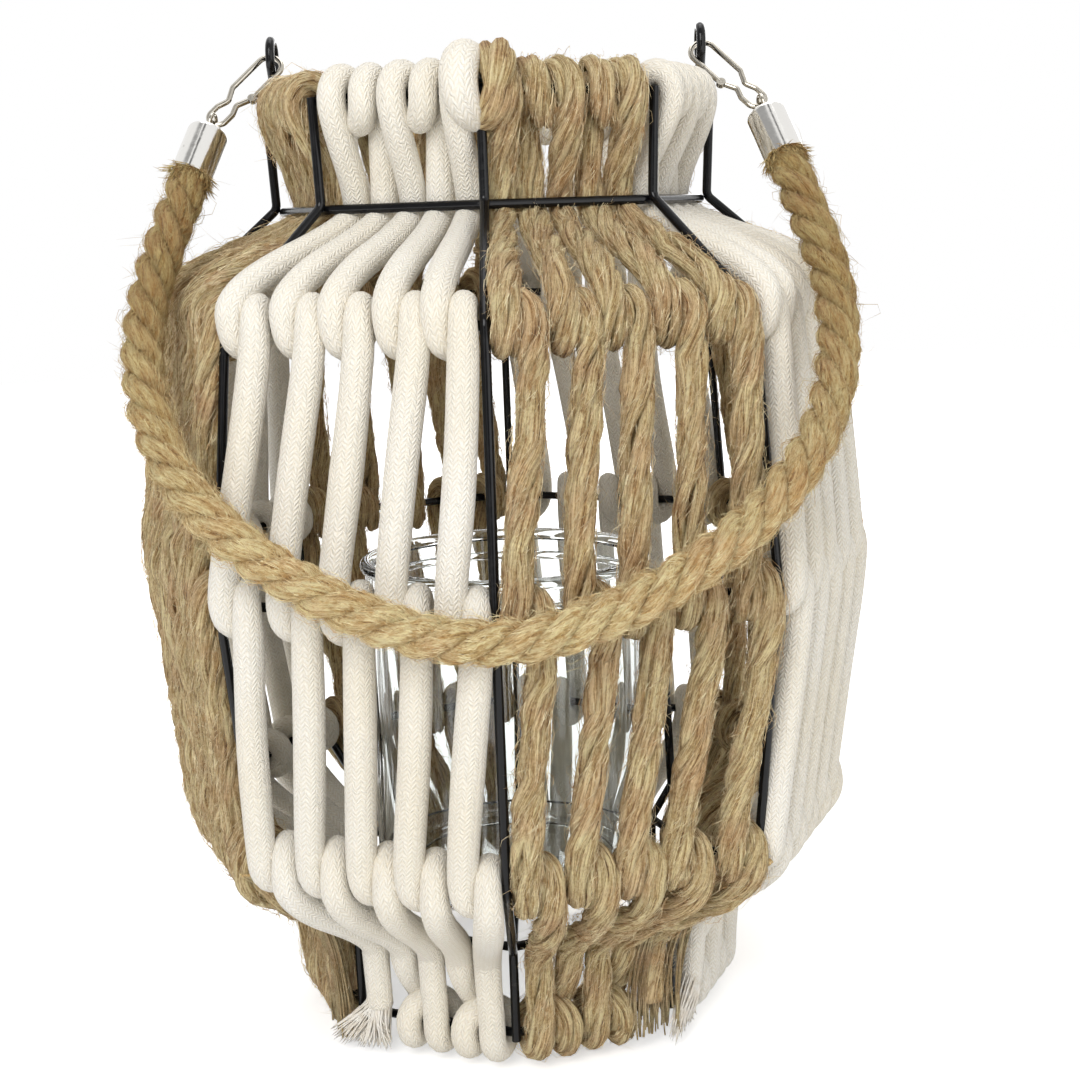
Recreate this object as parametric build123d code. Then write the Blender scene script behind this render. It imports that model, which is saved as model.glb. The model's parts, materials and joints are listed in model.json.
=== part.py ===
from build123d import *
import itertools
import math
import os

# Hanging lantern: an octagonal wire frame wound panel by panel with cotton and jute cord,
# a glass jar on a wire cross inside, and a rope handle held by two snap clips.
# Millimetres. +Z up, +X to the right, the front corner of the frame points along -Y.
# The base plane z = 0 is the surface that the lowest turns of cord rest on.

# ---------------------------------------------------------------- driving dimensions
SIDES = 8
wire_d = 3.2              # frame wire
cord_d = 8.0              # wound cotton and jute cord
cord_gap = 0.3            # air between a wound cord and the wire it goes round
weld_bite = 0.03          # depth by which one crossing wire enters the other
butt_bite = 0.01          # the same for a wire welded on by its end

rim_r = 76.0              # ring radii, to the wire centre at the corners
neck_r = 75.0
shoulder_r = 115.5
waist_r = 125.0
hip_r = 115.5
foot_r = 76.0
base_r = 75.0

foot_h = 32.0             # heights between neighbouring rings
taper_h = 36.5
lower_body_h = 89.5
upper_body_h = 89.0
shoulder_h = 36.0
collar_h = 35.5

ring_corner_r = 5.0       # bend radius of a ring at its corners
upright_bend_r = 4.0      # bend radius of an upright at a ring

passes = 5                # times that a panel's cord runs between rim and base
turn_shift = 8.8          # sideways step of the cord in one full turn round a ring
panel_edge = 1.0          # free length of a ring at each end of a panel
ear_gap = 10.5            # free length of the rim beside an ear
end_edge = 4.1            # free length of the rim and base beside another upright
turn_lead = 13.0          # straight lead into a turn at the shoulder and hip rings
body_lead = 6.5           # straight lead into a turn from the body side
rim_lead = 6.0            # straight lead below the rim and above the base
foot_slack = 0.9          # extra room where the cord passes the foot ring
tail_l = 9.0              # loose end of a panel's cord
turn_corners = 3          # corners of the cord in half a turn, where a real cord is round
cord_sides = 6            # flats of the cord's section

ear_h = 26.0              # top of an ear above the rim wire
ear_eye_r = 5.5           # centre line of an ear's eye
ear_stalk_gap = 0.1       # air between the two legs of an ear

jar_d = 108.0
jar_h = 122.0
jar_wall = 3.0
jar_floor = 5.0
jar_corner_r = 6.0
jar_lip_d = 4.8           # rolled lip
jar_bead_d = 3.6          # bead below the lip
jar_bead_step = 8.5
jar_punt_d = 76.0         # hollow under the jar
jar_punt_h = 1.2
jar_seat_gap = 0.1

prong_foot_x = 61.5       # side wires that keep the jar central
prong_top_x = 58.0
prong_h = 97.0

rope_d = 14.0
rope_tenon_d = 12.6       # rope squeezed inside a ferrule
cap_d = 14.4
cap_wall = 0.8
cap_l = 20.0
cap_edge_r = 1.6
cap_slant = 14.5          # degrees that a ferrule leans outwards
rest_gap = 0.4            # air between the resting handle and the front of the body

eye_r = 3.2               # centre line of the ring on a ferrule
eye_wire_d = 1.6
eye_head_d = 4.0          # riveted end of its shank
eye_head_t = 0.8
eye_shank_l = 1.1         # from the ring's centre line to the ferrule
shank_gap = 0.02

clip_wire_d = 2.0
clip_slope = 53.0         # degrees below the ears' axis
clip_play = 0.2           # clip wire below the middle of the ear's eye
clip_side = 1.0           # middle of the large loop outside the ear
clip_large_w = 9.0        # widths over the centre line
clip_waist_w = 3.6
clip_small_w = 6.8
clip_side_l = 14.5        # lengths from the middle of the large loop
clip_waist_l = 20.0
clip_small_l = 24.0
clip_l = 30.8
clip_bend_r = 2.2
gate_l = 8.8
gate_gap = 0.25
gate_pin_d = 1.2
gate_bore_gap = 0.05
gate_lug_d = 3.2
gate_lug_t = 0.9
gate_side_gap = 0.05

rope_lead = 27.0          # straight lead of the rope out of a ferrule
# Half of the rope's further route in the handle's own plane, on to the middle:
# (out from the middle, down from the ears' axis).
ROPE_ROUTE = [
    (113.4, 107.0),
    (112.0, 136.0),
    (103.0, 164.0),
    (86.0, 187.5),
    (63.5, 206.5),
    (37.5, 221.5),
    (13.5, 230.0),
]

# ---------------------------------------------------------------- worked-out sizes
wire_r = wire_d / 2
cord_r = cord_d / 2
wind_r = wire_r + cord_r + cord_gap          # cord centre line to ring wire centre
half_side = math.radians(180 / SIDES)
flat = math.cos(half_side)                   # apothem over corner radius
corner_out = ring_corner_r * (1 / flat - 1)  # a rounded corner's shortfall

foot_z = foot_h
hip_z = foot_z + taper_h
waist_z = hip_z + lower_body_h
shoulder_z = waist_z + upper_body_h
neck_z = shoulder_z + shoulder_h
rim_z = neck_z + collar_h

RINGS = {
    "base_ring": (base_r, 0.0),
    "foot_ring": (foot_r, foot_z),
    "hip_ring": (hip_r, hip_z),
    "waist_ring": (waist_r, waist_z),
    "shoulder_ring": (shoulder_r, shoulder_z),
    "neck_ring": (neck_r, neck_z),
    "rim_ring": (rim_r, rim_z),
}


def apothem(radius):
    """Distance from the axis to the wire centre at the middle of a ring's side."""
    return (radius + corner_out) * flat


def side_length(radius):
    """Length of one side of a ring, from corner to corner."""
    return 2 * apothem(radius) * math.tan(half_side)


# ---------------------------------------------------------------- cord positions
def spread(low, high):
    """Places of the passes, evenly from low to high along a ring's side."""
    step = (high - low) / (passes - 1)
    return [low + step * index for index in range(passes)]


def turn_places(radius):
    """Middles of the full turns round a ring."""
    side = side_length(radius) - 2 * panel_edge
    pitch = side / passes
    return spread(-side / 2 + pitch / 2, side / 2 - pitch / 2)


def end_places(radius, start_gap=end_edge):
    """Places of the passes on an end ring, with the winding's start at the left."""
    half = side_length(radius) / 2
    return spread(-half + start_gap + cord_r, half - end_edge - cord_r)


def inner_places():
    """Places of the passes where they run side by side inside the neck ring."""
    depth = min(neck_corner(True)[0], neck_corner(False)[0])
    reach = depth * math.tan(half_side) - (cord_r + cord_gap / 2) / flat
    return spread(-reach, reach)


base_step = (side_length(base_r) - 2 * (end_edge + cord_r)) / (passes - 1)
corner_reach = 1 / math.cos(math.pi / (2 * turn_corners))
base_bend_r = math.hypot(wind_r, base_step / 2)      # turn back under the base ring
ground = (base_bend_r + cord_r) * corner_reach       # base wire above the surface
ear_axis_z = rim_z + ear_h - wire_r - ear_eye_r      # middle of an ear's eye


# ---------------------------------------------------------------- small helpers
def tube(path, diameter):
    """Round solid along a path."""
    start = path @ 0
    section = Plane(origin=start, z_dir=path % 0) * Circle(diameter / 2)
    return sweep(section, path=path)


def bent(points, radii):
    """Straight runs through points, joined by arcs of the given radii."""
    return FilletPolyline(*points, radius=radii)


def keep(name, shape):
    """Write one node."""
    shape.label = name
    export_step(shape, os.path.join("parts", name + ".step"))


def lifted(shape):
    """Move a shape from the base wire's level to the surface's."""
    return Pos(0, 0, ground) * shape


def bisector(before, here, after):
    """Outward unit bisector of a bend in a plane, and the turn there in radians."""
    first = (Vector(*here) - Vector(*before)).normalized()
    second = (Vector(*after) - Vector(*here)).normalized()
    turn = math.radians(first.get_angle(second))
    return (first - second).normalized(), turn


def peg_corner(before, peg, after, radius):
    """Corner of a path in a plane that bends round a peg at the given radius."""
    corner = (peg[0] - radius, peg[1])
    for _ in range(8):
        outward, turn = bisector(before, corner, after)
        reach = radius / math.cos(turn / 2)
        corner = (peg[0] + outward.X * reach, peg[1] + outward.Y * reach)
    return corner


# ---------------------------------------------------------------- wire frame
def ring(radius, height):
    """Eight-sided ring of wire with rounded corners."""
    corner = radius + corner_out
    points = []
    for index in range(SIDES):
        angle = 2 * half_side * index
        points.append((corner * math.sin(angle), -corner * math.cos(angle), height))
    return tube(FilletPolyline(*points, radius=ring_corner_r, close=True), wire_d)


def upright():
    """Wire from base to rim on the outside of the rings, at the front corner."""
    levels = list(RINGS.values())
    offset = wire_d - weld_bite
    points = [(levels[0][0] + offset, levels[0][1] - wire_r)]
    for before, here, after in zip(levels, levels[1:], levels[2:]):
        outward, turn = bisector(before, here, after)
        bulge = upright_bend_r * (1 / math.cos(turn / 2) - 1)
        if outward.X < 0:
            outward = outward * -1
            bulge = -bulge
        points.append((here[0] + outward.X * (offset + bulge), here[1] + outward.Y * (offset + bulge)))
    points.append((levels[-1][0] + offset, levels[-1][1] + wire_r / 2))
    return tube(bent([(0, -r, z) for r, z in points], upright_bend_r), wire_d)


def ear():
    """Hairpin eye standing on the right-hand corner of the rim, in the YZ plane."""
    leg_y = wire_r + ear_stalk_gap / 2
    foot = rim_z + wire_r - butt_bite
    top = ear_axis_z + ear_eye_r
    flare = ear_axis_z - 1.45 * ear_eye_r
    half = [(leg_y, foot), (leg_y, flare), (ear_eye_r, ear_axis_z - 0.55 * ear_eye_r), (ear_eye_r, top)]
    points = [(rim_r, -y, z) for y, z in half] + [(rim_r, y, z) for y, z in reversed(half)]
    eye_bend = ear_eye_r * 0.98
    return tube(bent(points, [wire_d] + [eye_bend] * 4 + [wire_d]), wire_d)


# ---------------------------------------------------------------- wound panels
def out_from_axis(u, n, z):
    """Turn (along the panel, out from the axis, up) into model axes at the front."""
    return Vector(u, -n, z)


def half_turn(start, end, side):
    """Corners of half a turn of cord, over (side 1) or under (side -1) a wire."""
    across = (end - start) * 0.5
    corners = []
    for index in range(turn_corners):
        angle = math.pi * (index + 0.5) / turn_corners
        up = Vector(0, 0, side * across.length * math.sin(angle))
        corners.append(start + across + (up - across * math.cos(angle)) * corner_reach)
    return corners


def full_turn(u, radius, height):
    """Full turn round a ring: under it, up inside and over it, one step to the right."""
    outside, inside = apothem(radius) + wind_r, apothem(radius) - wind_r
    low = out_from_axis(u - turn_shift / 2, outside, height)
    back = out_from_axis(u, inside, height)
    high = out_from_axis(u + turn_shift / 2, outside, height)
    return half_turn(low, back, -1) + half_turn(back, high, 1)


def neck_corner(inside):
    """Where a pass bends inside the neck ring: out from the axis, and up."""
    side = -1 if inside else 1
    above = (apothem(rim_r) + side * wind_r, rim_z - rim_lead)
    below = (apothem(shoulder_r) + wind_r, shoulder_z + turn_lead)
    return peg_corner(above, (apothem(neck_r), neck_z), below, wind_r)


def one_pass(index, place, inside):
    """Corners of one run from rim to base, inside or outside the two end rings."""
    side = -1 if inside else 1
    step = turn_shift / 2
    u_rim, u_neck, u_foot = place["rim"][index], place["neck"][index], place["base"][index]
    u_shoulder, u_waist, u_hip = place["shoulder"][index], place["waist"][index], place["hip"][index]
    n_rim = apothem(rim_r) + side * wind_r
    n_base = apothem(base_r) + side * wind_r
    n_shoulder, n_waist = apothem(shoulder_r) + wind_r, apothem(waist_r) + wind_r
    n_hip, n_foot = apothem(hip_r) + wind_r, apothem(foot_r) + wind_r + foot_slack
    corners = [
        out_from_axis(u_rim, n_rim, rim_z - rim_lead),
        out_from_axis(u_neck, *neck_corner(inside)),
        out_from_axis(u_shoulder - step, n_shoulder, shoulder_z + turn_lead),
    ]
    corners += full_turn(u_shoulder, shoulder_r, shoulder_z)
    corners += [
        out_from_axis(u_shoulder + step, n_shoulder, shoulder_z - body_lead),
        out_from_axis(u_waist - step, n_waist, waist_z + body_lead),
    ]
    corners += full_turn(u_waist, waist_r, waist_z)
    corners += [
        out_from_axis(u_waist + step, n_waist, waist_z - body_lead),
        out_from_axis(u_hip - step, n_hip, hip_z + body_lead),
    ]
    corners += full_turn(u_hip, hip_r, hip_z)
    corners += [
        out_from_axis(u_hip + step, n_hip, hip_z - turn_lead),
        out_from_axis(u_foot, n_foot, foot_z - cord_r),
        out_from_axis(u_foot, n_base, rim_lead),
    ]
    return corners


def pass_places(start_left, beside_ear):
    """Places of the five passes at each ring, with the winding's start on one side."""
    place = {
        "rim": end_places(rim_r, ear_gap if beside_ear else end_edge),
        "neck": inner_places(),
        "shoulder": turn_places(shoulder_r),
        "waist": turn_places(waist_r),
        "hip": turn_places(hip_r),
        "base": end_places(base_r),
    }
    if start_left:
        return place
    mirrored = ("rim", "base")
    return {
        name: [-u for u in places] if name in mirrored else places[::-1]
        for name, places in place.items()
    }


def winding(start_left, beside_ear):
    """Corners of one panel's cord, wound to and fro between rim and base."""
    place = pass_places(start_left, beside_ear)
    rim, base = [], []
    for u in place["rim"]:
        rim.append([out_from_axis(u, apothem(rim_r) + side * wind_r, rim_z) for side in (1, -1)])
    for u in place["base"]:
        base.append([out_from_axis(u, apothem(base_r) + side * wind_r, 0) for side in (1, -1)])
    corners = [rim[0][1] - Vector(0, 0, tail_l)]
    corners += half_turn(rim[0][1], rim[0][0], 1)
    for index in range(passes):
        inside = index % 2 == 1
        corners += one_pass(index, place, inside)[:: -1 if inside else 1]
        if index + 1 == passes:
            corners += half_turn(base[index][0], base[index][1], -1)
        elif inside:
            corners += half_turn(rim[index][1], rim[index + 1][0], 1)
        else:
            corners += half_turn(base[index][0], base[index + 1][1], -1)
    return corners + [base[-1][1] + Vector(0, 0, tail_l)]


def flat_sided_cord(corners):
    """Six-sided solid along straight runs with mitred corners."""
    runs = [(after - before).normalized() for before, after in zip(corners, corners[1:])]
    across = runs[0].cross(Vector(1, 0, 0)).normalized() * cord_r
    spin = Axis((0, 0, 0), runs[0])
    turns = [360 / cord_sides * index for index in range(cord_sides)]
    section = [corners[0] + across.rotate(spin, turn) for turn in turns]
    sections = [section]
    for corner, before, after in zip(corners[1:], runs, runs[1:] + runs[-1:]):
        mitre = before + after
        section = [p + before * ((corner - p).dot(mitre) / before.dot(mitre)) for p in section]
        sections.append(section)
    faces = [Face(Wire.make_polygon(end)) for end in (sections[0], sections[-1])]
    for before, after in zip(sections, sections[1:]):
        for index in range(cord_sides):
            edge = [before[index - 1], before[index], after[index], after[index - 1]]
            faces.append(Face(Wire.make_polygon(edge)))
    return Solid(Shell(faces))


def panel(start_left, beside_ear):
    """One panel's cord, at the front; its winding starts at a corner, maybe one with an ear."""
    return flat_sided_cord(winding(start_left, beside_ear))


# ---------------------------------------------------------------- jar and its seat
def jar_cross():
    """Two crossed wires, butt-welded into four corners of the foot ring."""
    inner_bend = ring_corner_r - wire_r
    reach = foot_r - ring_corner_r + math.sqrt(inner_bend**2 - wire_r**2) + butt_bite
    bar = Cylinder(wire_r, 2 * reach)
    return Pos(0, 0, foot_z) * (Rot(0, 90, 0) * bar + Rot(90, 0, 0) * bar)


def prong():
    """Side wire on the right, standing on the cross beside the jar."""
    low = foot_z + wire_r - butt_bite
    return tube(Line((prong_foot_x, 0, low), (prong_top_x, 0, low + prong_h)), wire_d)


def glass_jar():
    """Open jar with a rolled lip, a bead below it and a hollow base."""
    body_r = (jar_d - jar_lip_d) / 2 + jar_wall - jar_lip_d / 2
    bore_r = body_r - jar_wall
    lip_z = jar_h - jar_lip_d / 2
    body = extrude(Circle(body_r), lip_z)
    body = fillet(body.edges().sort_by(Axis.Z)[0], jar_corner_r)
    bore = Pos(0, 0, jar_floor) * extrude(Circle(bore_r), jar_h)
    bore = fillet(bore.edges().sort_by(Axis.Z)[0], jar_corner_r - jar_wall / 2)
    lip = Pos(0, 0, lip_z) * Torus(bore_r + jar_lip_d / 2, jar_lip_d / 2)
    bead = Pos(0, 0, lip_z - jar_bead_step) * Torus(body_r - jar_bead_d / 6, jar_bead_d / 2)
    punt = extrude(Circle(jar_punt_d / 2), jar_punt_h)
    jar = body - bore + lip + (bead - bore) - punt
    return Pos(0, 0, foot_z + wire_r + jar_seat_gap) * jar


# ---------------------------------------------------------------- handle
def handle_reach():
    """Drop of the rope's middle run below the ears' axis, in the handle's plane."""
    return ROPE_ROUTE[-1][1]


def rest_lean():
    """Angle from straight down at which the rope lies against the front of the body."""
    pitch = (side_length(waist_r) - 2 * panel_edge) / passes
    along = side_length(waist_r) / 2 - panel_edge - pitch / 2 + turn_shift / 2
    out = apothem(waist_r) + wind_r
    front = out * flat + along * math.sin(half_side) + cord_r
    return math.asin((front + rope_d / 2 + rest_gap) / handle_reach())


lean = rest_lean()
handle_plane = Plane(
    origin=(0, 0, ear_axis_z), x_dir=(1, 0, 0), z_dir=(0, math.cos(lean), -math.sin(lean))
)
slope = math.radians(clip_slope)
clip_middle = (rim_r + clip_side, clip_large_w / 2 + clip_play)
eye_middle = (clip_middle[0] + clip_l * math.cos(slope), clip_middle[1] + clip_l * math.sin(slope))
slant = math.radians(cap_slant)
cap_axis = (math.sin(slant), math.cos(slant))
shank_top = (eye_middle[0] + cap_axis[0] * eye_r, eye_middle[1] + cap_axis[1] * eye_r)


def along_cap(distance):
    """Point on a ferrule's axis, in the handle's plane."""
    return (shank_top[0] + cap_axis[0] * distance, shank_top[1] + cap_axis[1] * distance)


cap_frame = Plane(
    origin=(*shank_top, 0), x_dir=(0, 0, 1), z_dir=(cap_axis[0], cap_axis[1], 0)
)
mouth = along_cap(eye_shank_l + cap_l)
lead_end = along_cap(eye_shank_l + cap_l + rope_lead)


def rope():
    """Plain tube of rope with a squeezed end in each ferrule, in the handle's plane."""
    half = [mouth, lead_end] + ROPE_ROUTE
    points = half + [(-x, t) for x, t in reversed(half)]
    vectors = [Vector(x, t, 0) for x, t in points]
    radii = []
    for before, here, after in zip(vectors, vectors[1:], vectors[2:]):
        turn = math.radians((here - before).get_angle(after - here))
        shorter = min((here - before).length, (after - here).length)
        radii.append(0.45 * shorter / math.tan(turn / 2))
    path = bent(vectors, radii)
    print("rope radii", [round(radius) for radius in radii])
    print("rope length", round(path.length), "volume over section and length",
          round(tube(path, rope_d).volume / (path.length * math.pi * rope_d**2 / 4), 4))
    tenon_l = cap_l - cap_wall - eye_head_t - rest_gap
    tenon = Pos(0, 0, eye_shank_l + cap_l - tenon_l) * extrude(Circle(rope_tenon_d / 2), tenon_l)
    end = cap_frame.location * tenon
    return tube(path, rope_d) + end + mirror(end, Plane.YZ)


def cap():
    """Drawn metal ferrule, open towards the rope, with a hole for the eye's shank."""
    cup = extrude(Circle(cap_d / 2), cap_l)
    cup = fillet(cup.edges().sort_by(Axis.Z)[0], cap_edge_r)
    cup -= Pos(0, 0, cap_wall) * extrude(Circle(cap_d / 2 - cap_wall), cap_l)
    cup -= extrude(Circle(eye_wire_d / 2 + shank_gap), cap_wall)
    return cap_frame.location * Pos(0, 0, eye_shank_l) * cup


def eye():
    """Wire ring round the end of a clip, with a shank riveted in the ferrule."""
    ring_part = Pos(0, 0, -eye_r) * Rot(90, 0, 0) * Torus(eye_r, eye_wire_d / 2)
    shank = extrude(Circle(eye_wire_d / 2), eye_shank_l + cap_wall)
    head = Pos(0, 0, eye_shank_l + cap_wall) * extrude(Circle(eye_head_d / 2), eye_head_t)
    return cap_frame.location * (ring_part + shank + head)


# ---------------------------------------------------------------- snap clips
clip_frame = Plane(
    origin=(*clip_middle, 0), x_dir=(math.cos(slope), math.sin(slope), 0), z_dir=(0, 0, 1)
)
gate_pivot = (clip_side_l, clip_large_w / 2)


def gate_lug(side):
    """Flat lug at the gate's pivot, above (side 1) or below the middle plane."""
    low = gate_side_gap if side > 0 else -gate_side_gap - gate_lug_t
    return Pos(*gate_pivot, low) * extrude(Circle(gate_lug_d / 2), gate_lug_t)


def lug_room(side):
    """Space round the pivot that the other lug turns in."""
    low = -clip_wire_d if side > 0 else -gate_side_gap
    height = clip_wire_d + gate_side_gap
    return Pos(*gate_pivot, low) * extrude(Circle(gate_lug_d / 2 + gate_gap), height)


def clip():
    """Gourd-shaped clip of bent wire, open at the gate, with the gate's pin."""
    half_large, half_waist, half_small = clip_large_w / 2, clip_waist_w / 2, clip_small_w / 2
    gate_tip = clip_side_l - gate_l
    points = [
        (gate_tip - gate_gap, half_large),
        (-half_large, half_large),
        (-half_large, -half_large),
        (clip_side_l, -half_large),
        (clip_waist_l, -half_waist),
        (clip_small_l, -half_small),
        (clip_l, -half_small),
        (clip_l, half_small),
        (clip_small_l, half_small),
        (clip_waist_l, half_waist),
        (clip_side_l, half_large),
    ]
    large_bend, small_bend = half_large * 0.98, half_small * 0.98
    radii = [large_bend, large_bend, clip_bend_r, clip_bend_r, clip_bend_r]
    radii += [small_bend, small_bend, clip_bend_r, clip_bend_r]
    wire = tube(bent([(a, b, 0) for a, b in points], radii), clip_wire_d)
    pin_l = 2 * (gate_lug_t + gate_side_gap)
    pin = Pos(*gate_pivot, -pin_l / 2) * extrude(Circle(gate_pin_d / 2), pin_l)
    return clip_frame.location * (wire - lug_room(1) + gate_lug(1) + pin)


def gate():
    """Straight gate that closes the large loop and swings inwards on the pin."""
    tip = (clip_side_l - gate_l, clip_large_w / 2, 0)
    wire = tube(Line((*gate_pivot, 0), tip), clip_wire_d)
    bore = Pos(*gate_pivot, -clip_wire_d) * extrude(
        Circle(gate_pin_d / 2 + gate_bore_gap), 2 * clip_wire_d
    )
    return clip_frame.location * (wire - lug_room(-1) + gate_lug(-1) - bore)


# ---------------------------------------------------------------- nodes
def in_handle_plane(shape):
    """Move a shape from the handle's plane to where the handle rests."""
    return handle_plane.location * shape


def keep_pair(name, shape):
    """Write a right-hand piece and its mirror image."""
    keep(name + "_right", lifted(shape))
    keep(name + "_left", lifted(mirror(shape, Plane.YZ)))


def main():
    """Build and write every node."""
    os.makedirs("parts", exist_ok=True)
    for name, (radius, height) in RINGS.items():
        keep(name, lifted(ring(radius, height)))
    post = upright()
    for index in range(SIDES):
        keep(f"upright_{index + 1}", lifted(Rot(0, 0, 360 / SIDES * index) * post))
    for start_left, beside_ear in itertools.product((True, False), (True, False)):
        wound = panel(start_left, beside_ear)
        cord = "jute" if start_left else "cotton"
        for index in range(SIDES // 2):
            if (index % 2 == 1) == (beside_ear == start_left):
                middle = 360 / SIDES * (2 * index + (0.5 if start_left else 1.5))
                keep(f"{cord}_wrap_{index + 1}", lifted(Rot(0, 0, middle) * wound))
    keep_pair("ear", ear())
    keep("jar_cross", lifted(jar_cross()))
    keep_pair("jar_prong", prong())
    keep("glass_jar", lifted(glass_jar()))
    keep("rope_handle", lifted(in_handle_plane(rope())))
    keep_pair("rope_cap", in_handle_plane(cap()))
    keep_pair("cap_eye", in_handle_plane(eye()))
    keep_pair("snap_clip", in_handle_plane(clip()))
    keep_pair("clip_gate", in_handle_plane(gate()))


main()
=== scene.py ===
"""Hanging lantern: a wire frame wound with cotton and jute cord, a glass jar and a rope handle."""
import json
import logging
import math
from dataclasses import dataclass, field
from enum import Enum

import bpy
import numpy as np
from bpy.types import Material, Node, NodeOutputs, NodeSocket, NodeTree, Object
from mathutils import Matrix, Vector


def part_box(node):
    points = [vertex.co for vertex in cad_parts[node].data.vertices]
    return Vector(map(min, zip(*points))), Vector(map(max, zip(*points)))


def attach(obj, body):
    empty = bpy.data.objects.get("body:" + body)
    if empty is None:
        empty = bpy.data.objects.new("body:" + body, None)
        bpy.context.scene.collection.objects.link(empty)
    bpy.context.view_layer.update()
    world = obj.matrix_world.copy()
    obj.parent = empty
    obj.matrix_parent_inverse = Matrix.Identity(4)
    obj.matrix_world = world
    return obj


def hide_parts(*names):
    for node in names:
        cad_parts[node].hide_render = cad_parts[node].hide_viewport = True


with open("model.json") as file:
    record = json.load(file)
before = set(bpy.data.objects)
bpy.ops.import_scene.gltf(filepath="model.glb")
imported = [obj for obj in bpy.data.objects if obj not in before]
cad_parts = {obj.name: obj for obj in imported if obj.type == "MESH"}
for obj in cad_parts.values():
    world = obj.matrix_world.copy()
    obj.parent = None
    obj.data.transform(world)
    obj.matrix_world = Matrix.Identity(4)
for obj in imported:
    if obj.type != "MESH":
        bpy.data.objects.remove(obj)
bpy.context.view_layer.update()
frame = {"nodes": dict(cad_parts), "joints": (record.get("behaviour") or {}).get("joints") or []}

Array, Rng = np.ndarray, np.random.Generator
LOG = logging.getLogger("lantern")
TAU = 2 * math.pi
WHITE = (1.0, 1.0, 1.0, 1.0)
SIDE_NAMES = ("left", "right")
SIDES = 8
HALF_SIDE = math.pi / SIDES
FLAT = math.cos(HALF_SIDE)  # apothem of the octagon over its corner radius
RING_BEND = 0.005  # bend radius of a ring at its corners, in metres like every length here
CORNER_SHORTFALL = RING_BEND * (1 / FLAT - 1)
WIRE_R = 0.0016
GROUND = 0.0004  # lowest place of a loose fibre
END_SHADE_HEIGHTS = (0.19, 0.27)  # heights between which the rope's colour darkens towards its top ends: painted shade
LAY_MAP = "lay"  # UV map of length along a cord and share of the way round it


def srgb(red: int, green: int, blue: int) -> tuple[float, ...]:
    """Turn a colour of 0 to 255 per channel into a linear one with an alpha of 1."""
    parts = [value / 255 for value in (red, green, blue)]
    return (*(part / 12.92 if part <= 0.04045 else ((part + 0.055) / 1.055) ** 2.4 for part in parts), 1.0)


# ---------------------------------------------------------------- shader sheets
class Sheet:
    """A node tree with short calls for adding and joining nodes."""

    def __init__(self, tree: NodeTree) -> None:
        """Start from an empty tree."""
        self.tree = tree
        tree.nodes.clear()

    def put(self, socket: NodeSocket, value: object) -> None:
        """Set a socket to a constant, or link it when the value is another socket."""
        if isinstance(value, NodeSocket):
            self.tree.links.new(value, socket)
        else:
            socket.default_value = value

    def feed(self, node: Node, **sockets: object) -> Node:
        """Fill a node's inputs by name, with underscores for spaces, and return the node."""
        for name, value in sockets.items():
            self.put(node.inputs[name.replace("_", " ")], value)
        return node

    def fill(self, node: Node, *values: object) -> NodeSocket:
        """Fill a node's first inputs in their order and return its first output."""
        for socket, value in zip(node.inputs, values):
            self.put(socket, value)
        return node.outputs[0]

    def add(self, kind: str, settings: dict | None = None, **sockets: object) -> Node:
        """Add a node.

        Args:
            kind: The node's type name.
            settings: Properties of the node itself.
            **sockets: Inputs by name, with underscores for spaces.

        Returns:
            The new node.
        """
        node = self.tree.nodes.new(kind)
        for name, value in (settings or {}).items():
            setattr(node, name, value)
        return self.feed(node, **sockets)

    def calc(self, operation: str, *values: object) -> NodeSocket:
        """Add a Math node and return its result."""
        return self.fill(self.add("ShaderNodeMath", {"operation": operation}), *values)

    def vector(self, operation: str, *values: object) -> NodeOutputs:
        """Add a Vector Math node and return its outputs."""
        node = self.add("ShaderNodeVectorMath", {"operation": operation})
        self.fill(node, *values)
        return node.outputs

    def split(self, vector: object) -> NodeOutputs:
        """Return the three parts of a vector."""
        return self.add("ShaderNodeSeparateXYZ", Vector=vector).outputs

    def span(
        self, value: object, low: float, high: float, to_low: object = 0.0, to_high: object = 1.0
    ) -> NodeSocket:
        """Map a value from one range to another, clamped, and return it."""
        return self.fill(self.add("ShaderNodeMapRange"), value, low, high, to_low, to_high)

    def lay(self) -> NodeSocket:
        """Return a point's place along its cord and round it."""
        return self.add("ShaderNodeUVMap", {"uv_map": LAY_MAP}).outputs[0]

    def place(self) -> NodeSocket:
        """Return a point's place on its own piece, which moves along with the piece."""
        return self.add("ShaderNodeTexCoord").outputs["Object"]

    def noise(self, vector: object, scale: object, detail: float, rough: float) -> NodeSocket:
        """Add a noise texture and return its value."""
        node = self.add("ShaderNodeTexNoise", Vector=vector, Scale=scale, Detail=detail, Roughness=rough)
        return node.outputs["Fac"]

    def ramp(self, factor: object, *stops: tuple[float, tuple]) -> NodeSocket:
        """Add a colour ramp and return its colour."""
        node = self.add("ShaderNodeValToRGB", Fac=factor)
        elements = node.color_ramp.elements
        while len(elements) < len(stops):
            elements.new(1.0)
        for element, (place, colour) in zip(elements, stops):
            element.position = place
            element.color = colour
        return node.outputs["Color"]

    def mix(self, factor: object, first: object, second: object, blend: str = "MIX") -> NodeSocket:
        """Add a colour mix and return its colour."""
        node = self.add("ShaderNodeMix", {"data_type": "RGBA", "blend_type": blend})
        for index, value in ((0, factor), (6, first), (7, second)):
            self.put(node.inputs[index], value)
        return node.outputs[2]

    def bump(self, height: object, distance: float) -> NodeSocket:
        """Return a normal that follows a height."""
        return self.add("ShaderNodeBump", Height=height, Distance=distance, Strength=1.0).outputs[0]

    def group(self, tree: NodeTree, **sockets: object) -> NodeOutputs:
        """Place a node group and return its outputs."""
        return self.add("ShaderNodeGroup", {"node_tree": tree}, **sockets).outputs


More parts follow.
